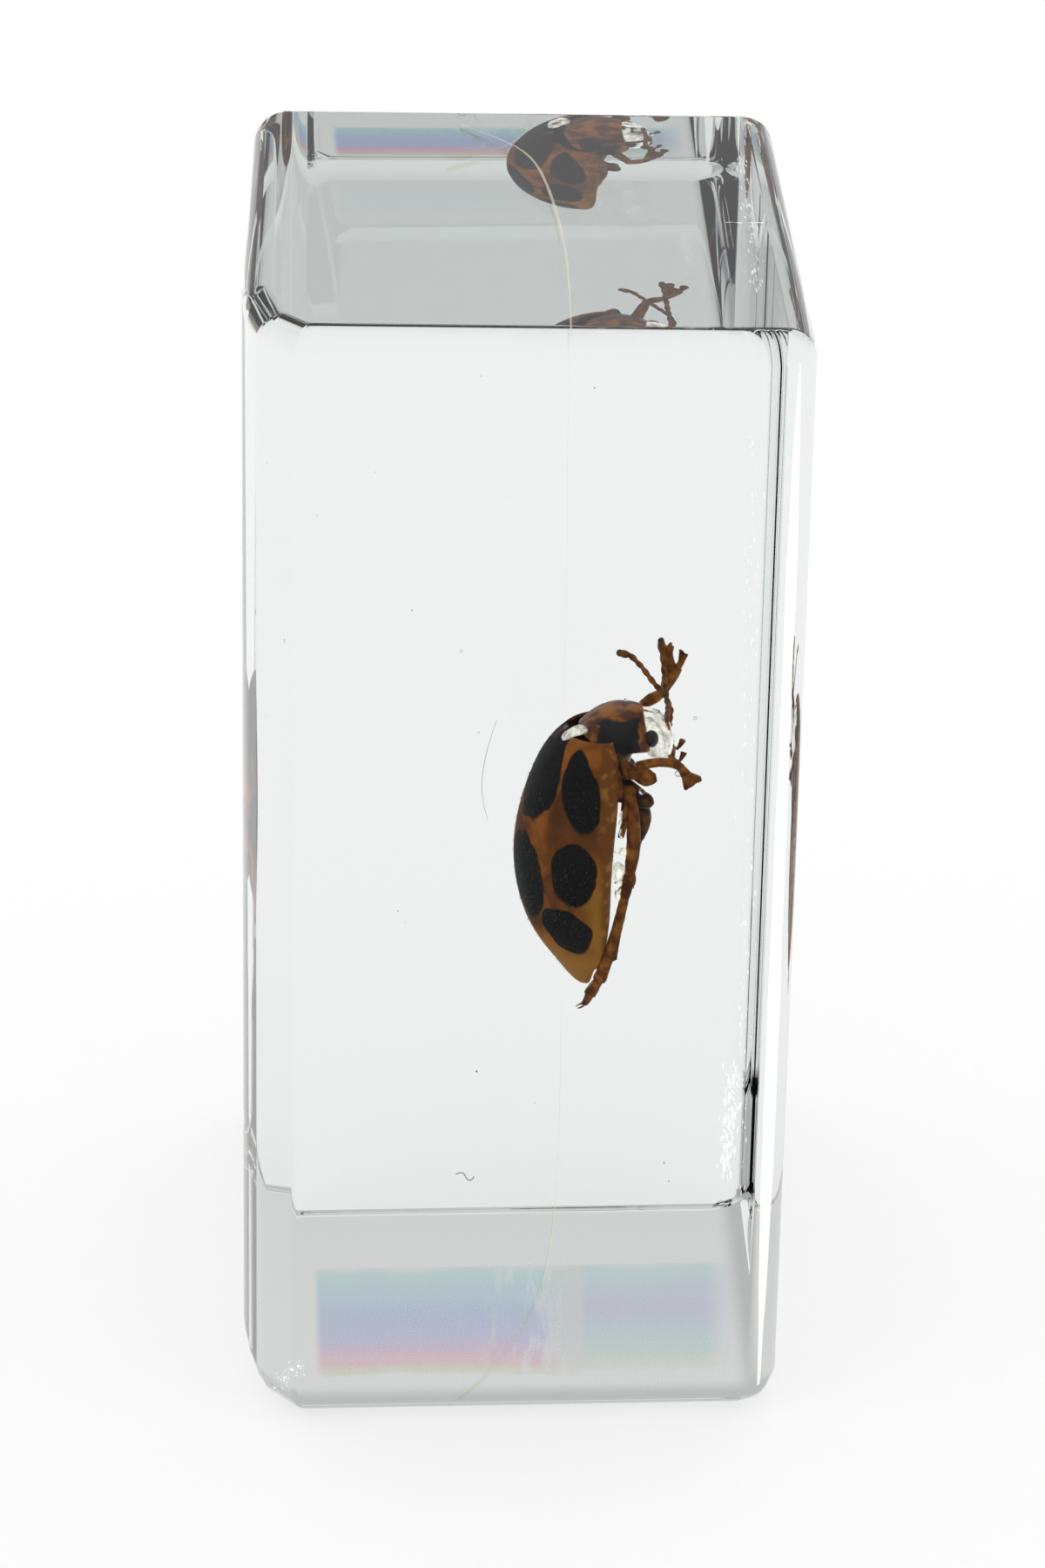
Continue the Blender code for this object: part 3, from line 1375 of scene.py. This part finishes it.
@dataclass
class Underside:
    """The breast and the ringed belly under the wing cases."""

    rings: int = 7
    belly_top: float = 21.9
    belly_bottom: float = 15.2
    belly_thick: float = 0.62

    def margin_at(self, height: float) -> float:
        """Return about how far out the wing cases' margin is at a height."""
        return 3.02 + 0.85 * min(1.0, max(0.0, (height - 14.0) / 7.5)) ** 0.62

    def half_width(self, height: float) -> float:
        """Return the belly's half-width at a height."""
        return 3.85 * math.sqrt(max(0.02, 1.0 - ((height - 21.2) / 6.6) ** 2))

    def build(self) -> None:
        """Build the belly ring by ring, and the breast."""
        sections = []
        step = (self.belly_top - self.belly_bottom) / self.rings
        for ring in range(self.rings):
            top = self.belly_top - ring * step
            for share, swell in ((0.0, -0.05), (0.18, 0.03), (0.8, 0.05), (0.95, -0.02)):
                height = top - share * step
                thick = self.belly_thick * (1 - 0.06 * ring)
                tall = thick + swell
                foot = self.margin_at(height) + 0.10 - thick
                sections.append(Station(foot, height, tall, self.half_width(height) + swell))
        belly = loft(sections, sides=40)
        smooth(belly, 1)
        crumple(belly, 0.6, 0.05)
        ringed = DarkChitin("belly_chitin", dark="1c130a", amber="b8892c", patch_mm=0.5, least=0.42)
        finish_piece(belly, "belly", ringed.material())
        breast = loft(stations(
            (4.05, 24.30, 0.62, 1.9), (3.80, 23.80, 0.88, 2.7), (3.55, 23.00, 0.80, 3.3),
            (3.45, 22.20, 0.72, 3.6), (3.35, 21.50, 0.60, 3.6),
        ), sides=36)
        smooth(breast, 2)
        crumple(breast, 0.5, 0.12)
        brown = DarkChitin("breast_chitin", dark="33200f", amber="93682a", patch_mm=0.45, least=0.42)
        finish_piece(breast, "breast", brown.material())


@dataclass(frozen=True)
class Limb:
    """One joint of a leg: a tube through its places, as thick as its radii."""

    places: tuple[Point, ...]
    radii: tuple[float, ...]


@dataclass(frozen=True)
class Leg:
    """A leg of one piece: its joints, and whether its chitin is dark."""

    name: str
    limbs: tuple[Limb, ...]
    dark: bool = False


def claws(at: Point, towards: Point, spread: float = 0.10) -> tuple[Limb, ...]:
    """Return the two hooked claws at a foot's end.

    Args:
        at: Where they leave the foot, in millimetres.
        towards: The way they point, and how far.
        spread: How far apart their tips are.

    Returns:
        Two thin limbs.
    """
    start, reach = Vector(at), Vector(towards)
    side = reach.cross(Vector((0.0, 1.0, 0.0))).normalized() * spread
    hooks = []
    for sign in (-1, 1):
        middle = start + reach * 0.6 + side * sign
        tip = start + reach + side * sign * 0.4 + Vector((-0.06, 0.0, 0.03))
        hooks.append(Limb((at, tuple(middle), tuple(tip)), (0.045, 0.035, 0.012)))
    return tuple(hooks)


def mirrored(limb: Limb, tuck: float = 0.0, lift: float = 0.0) -> Limb:
    """Return a limb on the beetle's other side, tucked to its belly and drawn up."""
    places = tuple((x - tuck, 2 * BEETLE_Y - y, z + lift) for x, y, z in limb.places)
    return Limb(places, limb.radii)


@dataclass
class Legs:
    """The six legs, folded or stretched as they set in the resin."""

    stoutness: float = 1.36

    def right_front(self) -> Leg:
        """Return the front leg stretched out below the head, with its broad foot."""
        return Leg("right_front_leg", (
            Limb(((4.10, -0.2, 23.55), (4.45, -1.1, 23.62), (4.70, -1.4, 23.50)), (0.22, 0.26, 0.16)),
            Limb(((4.55, -1.3, 23.62), (4.90, -1.4, 23.46), (5.25, -1.5, 23.40), (5.46, -1.5, 23.44)),
                 (0.14, 0.27, 0.26, 0.12)),
            Limb(((4.72, -1.4, 23.90), (5.20, -1.5, 24.02), (5.75, -1.5, 24.06), (6.22, -1.6, 24.00),
                  (6.38, -1.6, 23.86)), (0.13, 0.14, 0.13, 0.15, 0.11)),
            Limb(((6.34, -1.6, 23.92), (6.46, -1.6, 23.74), (6.58, -1.7, 23.58)), (0.12, 0.13, 0.16)),
            Limb(((6.55, -1.7, 23.62), (6.70, -1.7, 23.40), (6.84, -1.7, 23.22)), (0.13, 0.24, 0.31)),
            *claws((7.00, -1.7, 23.30), (0.20, 0.0, 0.12)),
            *claws((6.64, -1.7, 23.12), (-0.04, 0.0, -0.20), 0.05),
        ))

    def left_front(self) -> Leg:
        """Return the front leg raised past the head, with its spread foot."""
        return Leg("left_front_leg", (
            Limb(((4.6, 3.6, 24.0), (4.9, 4.6, 24.35), (5.14, 5.3, 24.60)), (0.2, 0.2, 0.14)),
            Limb(((5.08, 5.4, 24.56), (5.40, 5.5, 24.76), (5.70, 5.5, 24.92), (5.95, 5.5, 25.10)),
                 (0.13, 0.19, 0.17, 0.11)),
            Limb(((5.90, 5.5, 25.02), (6.05, 5.5, 25.38), (6.19, 5.5, 25.78), (6.30, 5.5, 26.10)),
                 (0.11, 0.17, 0.25, 0.27)),
            Limb(((6.24, 5.5, 25.95), (6.17, 5.5, 26.35), (6.13, 5.5, 26.68), (6.14, 5.5, 26.98)),
                 (0.17, 0.14, 0.11, 0.15)),
            Limb(((6.36, 5.5, 26.00), (6.54, 5.5, 26.14), (6.63, 5.5, 26.36), (6.70, 5.5, 26.66)),
                 (0.13, 0.10, 0.09, 0.14)),
            *claws((6.12, 5.5, 26.95), (0.16, 0.0, 0.16), 0.06),
            *claws((6.70, 5.5, 26.64), (-0.10, 0.0, 0.14), 0.05),
        ))

    def right_middle(self) -> Leg:
        """Return the middle leg, folded with its dark shank against the belly."""
        return Leg("right_middle_leg", (
            Limb(((4.20, -0.4, 22.90), (4.60, -1.0, 22.68), (4.92, -1.1, 22.50)), (0.24, 0.28, 0.2)),
            Limb(((4.70, -1.1, 22.62), (4.95, -1.1, 22.44), (5.18, -1.2, 22.26), (5.26, -1.2, 22.16)),
                 (0.16, 0.26, 0.22, 0.12)),
            Limb(((4.95, -0.5, 22.10), (5.04, -0.2, 21.70), (5.06, 0.1, 21.25), (4.98, 0.2, 20.80),
                  (4.90, 0.4, 20.35)), (0.13, 0.19, 0.2, 0.17, 0.1)),
            Limb(((4.93, 0.4, 20.5), (4.80, 0.5, 20.1), (4.72, 0.5, 19.75)), (0.09, 0.08, 0.07)),
        ), dark=True)

    def right_hind(self) -> Leg:
        """Return the hind leg that reaches along the wing case to the tail."""
        return Leg("right_hind_leg", (
            Limb(((4.00, -0.6, 22.50), (4.35, -1.2, 22.80), (4.52, -1.4, 22.76)), (0.2, 0.24, 0.18)),
            Limb(((4.47, -1.4, 22.82), (4.57, -1.6, 21.90), (4.60, -1.7, 21.0), (4.56, -1.7, 20.3),
                  (4.46, -1.7, 19.7), (4.40, -1.6, 19.15)), (0.15, 0.19, 0.21, 0.2, 0.17, 0.13)),
            Limb(((4.40, -1.6, 19.30), (4.36, -1.6, 19.00), (4.24, -1.5, 18.4)), (0.15, 0.19, 0.13)),
            Limb(((4.34, -1.6, 18.90), (4.21, -1.5, 18.27), (4.08, -1.35, 17.6), (3.95, -1.2, 17.01),
                  (3.80, -1.0, 16.3), (3.68, -0.8, 15.72)), (0.12, 0.14, 0.15, 0.16, 0.18, 0.23)),
            Limb(((3.64, -0.8, 15.70), (3.46, -0.5, 15.10), (3.30, -0.25, 14.62)), (0.15, 0.18, 0.2)),
            Limb(((3.26, -0.1, 14.50), (3.08, 0.1, 14.15), (2.95, 0.3, 13.85)), (0.14, 0.17, 0.19)),
            Limb(((3.02, 0.2, 14.0), (2.86, 0.4, 13.60), (2.74, 0.55, 13.34)), (0.13, 0.15, 0.09)),
            *claws((2.76, 0.55, 13.38), (-0.28, 0.2, -0.30), 0.12),
            Limb(((4.30, -1.6, 19.12), (4.05, -1.6, 19.30), (3.86, -1.6, 19.06)), (0.05, 0.04, 0.015)),
            Limb(((4.34, -1.6, 18.95), (4.10, -1.6, 18.98), (3.98, -1.6, 18.72)), (0.05, 0.04, 0.015)),
            Limb(((4.42, -1.6, 19.1), (4.56, -1.5, 18.98), (4.60, -1.5, 18.80)), (0.05, 0.04, 0.015)),
            Limb(((4.16, -1.0, 23.95), (4.30, -1.2, 23.70), (4.42, -1.2, 23.35)), (0.10, 0.16, 0.12)),
            Limb(((3.96, -1.3, 23.60), (4.08, -1.4, 23.00), (4.10, -1.4, 22.40)), (0.08, 0.12, 0.07)),
            Limb(((4.30, -1.5, 22.75), (4.32, -1.6, 22.10), (4.22, -1.6, 21.35), (4.16, -1.5, 20.95)),
                 (0.09, 0.11, 0.08, 0.04)),
            Limb(((4.50, -1.7, 19.55), (4.58, -1.7, 19.2), (4.50, -1.6, 18.95)), (0.10, 0.13, 0.07)),
            Limb(((4.28, -1.7, 19.45), (4.22, -1.7, 19.15), (4.30, -1.6, 18.9)), (0.07, 0.09, 0.06)),
        ))

    def all(self) -> list[Leg]:
        """Return the six legs, the left rear ones folded close under the belly."""
        middle, hind = self.right_middle(), self.right_hind()
        left_middle = Leg("left_middle_leg", tuple(mirrored(limb, 0.55) for limb in middle.limbs), True)
        left_hind = Leg("left_hind_leg", tuple(mirrored(limb, 0.6, 1.6) for limb in hind.limbs[:4]))
        return [self.right_front(), self.left_front(), middle, hind, left_middle, left_hind]

    def build(self) -> None:
        """Build every leg as one piece."""
        amber = LimbChitin("amber_leg_chitin").material()
        brown = LimbChitin("dark_leg_chitin", light="7a4a1a", dark="120c09", patch_mm=0.5, see_through=0.0)
        dark = brown.material()
        for leg in self.all():
            pieces = [
                tube(limb.places, [self.stoutness * radius for radius in limb.radii])
                for limb in leg.limbs
            ]
            whole = join(pieces)
            crumple(whole, 0.18, 0.035)
            finish_piece(whole, leg.name, dark if leg.dark else amber)


# ---------------------------------------------------------------------------- in the resin


@dataclass
class PourSeam:
    """The skin that stands between two pours, curling to one side at the back and the base."""

    front_x: float = 2.0
    front_y: float = -13.7
    back_y: float = 11.4
    top_z: float = 43.6
    base_z: float = 0.5
    slope: float = 0.026
    back_curl: float = 3.6
    base_curl: float = 4.2
    rows: int = 44
    # How fast the skin curls: it is nearly flat until close to the base or the back
    base_power: int = 14
    back_power: int = 5
    lean_share: float = 0.6
    # Where the skin comes out at the top, along X and Y, and at the foot, along X and Z
    top_route: tuple[tuple[float, float], ...] = (
        (2.07, -13.4), (2.18, -7.9), (2.11, -2.6), (1.79, 2.6), (1.3, 7.0), (0.27, 9.5), (-1.55, 11.6),
    )
    foot_route: tuple[tuple[float, float], ...] = (
        (1.36, 10.8), (1.3, 8.8), (1.02, 6.6), (0.5, 4.9), (-0.5, 3.3), (-2.05, 2.05),
    )
    finish: PourSkin = field(default_factory=PourSkin)

    def growth(self, share: float, power: int) -> float:
        """Return how much a power of the share grows over one row."""
        return share**power - (share - 1 / self.rows) ** power

    def build(self) -> None:
        """Build the sheet from a grid, row by row, and the line where it comes out."""
        deselect_all()
        bpy.ops.mesh.primitive_grid_add(
            x_subdivisions=self.rows, y_subdivisions=self.rows, size=1.0, rotation=(0.0, math.pi / 2, 0.0)
        )
        sheet = bpy.context.active_object
        bpy.ops.object.transform_apply(location=False, rotation=True, scale=False)
        deep, tall = self.back_y - self.front_y, self.top_z - self.base_z
        middle = ((self.front_y + self.back_y) / 2 * MM, (self.top_z + self.base_z) / 2 * MM)
        with editing(sheet):
            bpy.ops.mesh.select_all(action="SELECT")
            bpy.ops.transform.resize(value=(1.0, deep * MM, tall * MM))
            bpy.ops.transform.translate(value=(self.front_x * MM, *middle))
            for row in range(1, self.rows + 1):
                share = row / self.rows
                low = self.top_z - share * tall
                pick(sheet, lambda place, low=low: place.z < low + 0.01)
                step = -self.slope * tall / self.rows * self.lean_share
                step -= self.base_curl * self.growth(share, self.base_power)
                bpy.ops.transform.translate(value=(step * MM, 0.0, 0.0))
                far = self.front_y + share * deep
                pick(sheet, lambda place, far=far: place.y > far - 0.01)
                step = -self.back_curl * self.growth(share, self.back_power)
                bpy.ops.transform.translate(value=(step * MM, 0.0, 0.0))
        smooth(sheet, 0)
        crumple(sheet, 5.0, 0.12)
        skin = self.finish.material(self.front_y, self.top_z)
        finish_piece(sheet, "pour_skin", skin)
        top = [(x, y, self.top_z + 0.25 - self.slope * x) for x, y in self.top_route]
        foot = [(x, self.front_y - 0.12, z) for x, z in self.foot_route]
        lines = join([
            tube(top, [0.03, 0.04, 0.05, 0.055, 0.05, 0.04, 0.02]),
            tube(foot, [0.006, 0.014, 0.02, 0.03, 0.03, 0.01]),
        ])
        crumple(lines, 0.8, 0.03)
        resin = FrostedResin("pour_line_resin", "e9e3c0", 0.72)
        finish_piece(lines, "pour_line", resin.material())


@dataclass(frozen=True)
class Streak:
    """A line of nicks on or just under a face.

    Attributes:
        name: The piece's name.
        start: Where it begins, in millimetres.
        end: Where it ends.
        stray: How far nicks stray from the line, along each axis.
        largest: The largest nick's half-sizes.
        count: How many nicks it has.
    """

    name: str
    start: Point
    end: Point
    stray: Point
    largest: Point
    count: int


@dataclass
class Flaws:
    """What the casting and the polishing left: strain colours, nicks, dust and bubbles."""

    # The sheet of strain colours: its middle, its width, and its height as a share of that
    strain_at: Point = (0.15, -13.93, 4.3)
    strain_wide: float = 16.2
    strain_flat: float = 0.3
    streaks: tuple[Streak, ...] = (
        Streak("right_edge_nicks", (8.3, -13.8, 9.0), (8.6, -13.8, 40.5),
               (0.14, 0.02, 0.0), (0.03, 0.02, 0.15), 130),
        Streak("right_edge_scrape", (7.75, -13.8, 10.4), (8.0, -13.8, 14.8),
               (0.15, 0.02, 0.3), (0.04, 0.02, 0.22), 150),
        Streak("left_foot_nicks", (-9.3, -13.2, 1.3), (-8.4, -13.8, 2.6),
               (0.16, 0.02, 0.2), (0.06, 0.02, 0.05), 60),
        Streak("top_scrape", (9.0, -9.0, 43.66), (9.35, 7.6, 43.64),
               (0.14, 0.0, 0.01), (0.03, 0.32, 0.012), 90),
        Streak("top_cross_scratch", (8.3, -0.7, 43.67), (9.7, -0.7, 43.64),
               (0.0, 0.03, 0.01), (0.18, 0.03, 0.012), 20),
    )
    bubble_places: tuple[tuple[Point, float], ...] = (
        ((6.35, 0.4, 23.05), 0.13),
        ((4.9, -1.9, 22.95), 0.12),
        ((7.05, 2.0, 24.9), 0.07),
        ((-1.9, 3.5, 27.4), 0.06),
        ((4.3, -0.4, 26.35), 0.05),
    )
    specks: int = 16
    # The hazy right-hand edge: where it stands along X at the foot and along Y, and its slope
    haze_line: Point = (9.00, -13.46, 0.026)
    # Its height and radius, from the foot to the top
    haze: tuple[tuple[float, float], ...] = (
        (1.2, 0.05), (8.0, 0.22), (15.0, 0.22), (22.0, 0.2), (29.0, 0.18), (36.0, 0.2), (42.6, 0.05),
    )
    squiggle: tuple[Point, ...] = (
        (-2.42, -12.9, 10.34), (-2.26, -12.9, 10.44), (-2.10, -12.9, 10.36), (-2.04, -12.9, 10.18),
        (-1.94, -12.9, 10.06), (-1.78, -12.9, 10.12), (-1.74, -12.9, 10.24),
    )
    stray_hair: tuple[Point, ...] = (
        (-0.62, -2.0, 26.0), (-0.92, -2.0, 25.1), (-1.16, -2.0, 24.0), (-1.22, -2.0, 23.1),
        (-1.10, -2.0, 22.3), (-0.98, -2.0, 21.9),
    )

    def build_streak(self, streak: Streak, frosted: Material, seed: int) -> None:
        """Build one line of nicks as one piece."""
        chance = random.Random(seed)
        start, end = Vector(streak.start), Vector(streak.end)
        chips = []
        for _ in range(streak.count):
            place = start.lerp(end, chance.random())
            place += Vector([chance.gauss(0.0, reach) for reach in streak.stray])
            size = chance.uniform(0.25, 1.0)
            half = [reach * size * chance.uniform(0.6, 1.0) for reach in streak.largest]
            chips.append(ball(tuple(place), tuple(half), 2))
        whole = join(chips)
        crumple(whole, 0.08, 0.012)
        finish_piece(whole, streak.name, frosted)

    def build_specks(self, dust: Material) -> None:
        """Scatter a few specks of dust through the block."""
        chance = random.Random(11)
        motes = []
        for _ in range(self.specks):
            place = (chance.uniform(-8.5, 8.0), chance.uniform(-12.0, 12.0), chance.uniform(2.0, 42.0))
            radius = chance.uniform(0.012, 0.028)
            half = tuple(radius * chance.uniform(0.6, 1.5) for _ in range(3))
            motes.append(ball(place, half, 2))
        finish_piece(join(motes), "dust_specks", dust)

    def build(self) -> None:
        """Build every flaw."""
        deselect_all()
        bpy.ops.mesh.primitive_grid_add(
            x_subdivisions=24,
            y_subdivisions=24,
            size=self.strain_wide * MM,
            location=Vector(self.strain_at) * MM,
            rotation=(math.pi / 2, 0.0, 0.0),
        )
        bpy.ops.transform.resize(value=(1.0, 1.0, self.strain_flat))
        bands = bpy.context.active_object
        smooth(bands, 0)
        finish_piece(bands, "strain_colours", StrainColours().material())
        frosted = FrostedResin().material()
        for seed, streak in enumerate(self.streaks, start=1):
            self.build_streak(streak, frosted, seed)
        # A white strip that shines of itself inside the right front rounding: painted light on the edge,
        # over its frosting
        haze = FrostedResin("edge_polishing_haze", see_through=0.35).material()
        foot_x, front_y, slope = self.haze_line
        edge = tube([(foot_x + slope * z, front_y, z) for z, _ in self.haze], [r for _, r in self.haze])
        crumple(edge, 1.5, 0.06)
        finish_piece(edge, "right_edge_haze", haze)
        dust = LooseDust().material()
        self.build_specks(dust)
        fibre = LooseDust("trapped_fibre", light="c4c8cb", dark="9da2a6").material()
        threads = join([
            tube(self.squiggle, [0.022] * len(self.squiggle), 1),
            tube(self.stray_hair, [0.008, 0.011, 0.011, 0.01, 0.008, 0.005], 1),
        ])
        finish_piece(threads, "trapped_fibres", fibre)
        bubbles = [ball(place, (size, size * 0.9, size * 1.1), 3) for place, size in self.bubble_places]
        finish_piece(join(bubbles), "air_bubbles", AirBubble().material())


# ---------------------------------------------------------------------------- the studio


@dataclass
class Studio:
    """A lit white table under a soft sky, and the camera."""

    camera_at: Point = (-3.1906, -197.3721, 106.8462)
    right: Point = (0.9997333, -0.0218248, -0.00755)
    up: Point = (0.0156559, 0.4001712, 0.9163067)
    lens: float = 125.84
    table_glow: float = 0.612
    sky_level: float = 0.68
    sky_top: float = 1.2
    sky_front: float = 0.72
    bounces: int = 32

    def build_camera(self) -> None:
        """Add the camera, held a little out of level."""
        data = bpy.data.cameras.new("camera")
        data.lens = self.lens
        data.sensor_width = 36.0
        data.clip_start = 0.01
        data.clip_end = 20.0
        camera = bpy.data.objects.new("camera", data)
        bpy.context.scene.collection.objects.link(camera)
        right, up = Vector(self.right), Vector(self.up)
        turn = Matrix((right, up, right.cross(up))).transposed().to_4x4()
        camera.matrix_world = Matrix.Translation(Vector(self.camera_at) * MM) @ turn
        bpy.context.scene.camera = camera

    def build_floor(self) -> None:
        """Add the pale table top, lit from within like a viewing table."""
        deselect_all()
        bpy.ops.mesh.primitive_plane_add(size=4.0, location=(0.0, 0.0, -0.02 * MM))
        floor = bpy.context.active_object
        floor.name = "white_table"
        acrylic = Surface("opal_acrylic").shaded({
            "Base Color": (0.5, 0.5, 0.5, 1.0),
            "Roughness": 0.9,
            "Specular IOR Level": 0.0,
            "Emission Color": WHITE,
            "Emission Strength": self.table_glow,
        })
        floor.data.materials.append(acrylic)

    def build_light(self) -> None:
        """Light the table evenly from a soft sky that is dimmer near the horizon."""
        world = bpy.data.worlds.new("soft_light")
        bpy.context.scene.world = world
        world.use_nodes = True
        nodes = Nodes(world.node_tree)
        nodes.tree.nodes.clear()
        output = nodes.add("ShaderNodeOutputWorld")
        place = nodes.add("ShaderNodeTexCoord")
        split = nodes.add("ShaderNodeSeparateXYZ", inputs={0: place.outputs["Generated"]})
        rise = nodes.add(
            "ShaderNodeMapRange",
            {"interpolation_type": "SMOOTHSTEP"},
            {
                "Value": split.outputs["Z"],
                "From Min": 0.2,
                "From Max": 0.8,
                "To Min": self.sky_level,
                "To Max": self.sky_top,
            },
        )
        front = nodes.ramp(split.outputs["Y"], -0.9, 0.1)
        share = nodes.calculate("MULTIPLY", front, 1.0 - self.sky_front)
        share = nodes.calculate("ADD", share, self.sky_front)
        level = nodes.calculate("MULTIPLY", rise.outputs["Result"], share)
        sky = nodes.add("ShaderNodeBackground", inputs={"Strength": level})
        nodes.tree.links.new(sky.outputs["Background"], output.inputs["Surface"])

    def build(self) -> None:
        """Build all of the studio."""
        self.build_camera()
        self.build_floor()
        self.build_light()
        bpy.context.scene.view_settings.view_transform = "Standard"
        cycles = bpy.context.scene.cycles
        cycles.max_bounces = self.bounces
        cycles.transmission_bounces = self.bounces
        cycles.transparent_max_bounces = self.bounces


def main() -> None:
    """Build every class in order."""
    logging.basicConfig(level=logging.INFO, format="%(message)s")
    for part in (Studio, ResinBlock, WingCases, NeckShield, Head, Underside, Legs, PourSeam, Flaws):
        part().build()


if __name__ == "__main__":
    main()
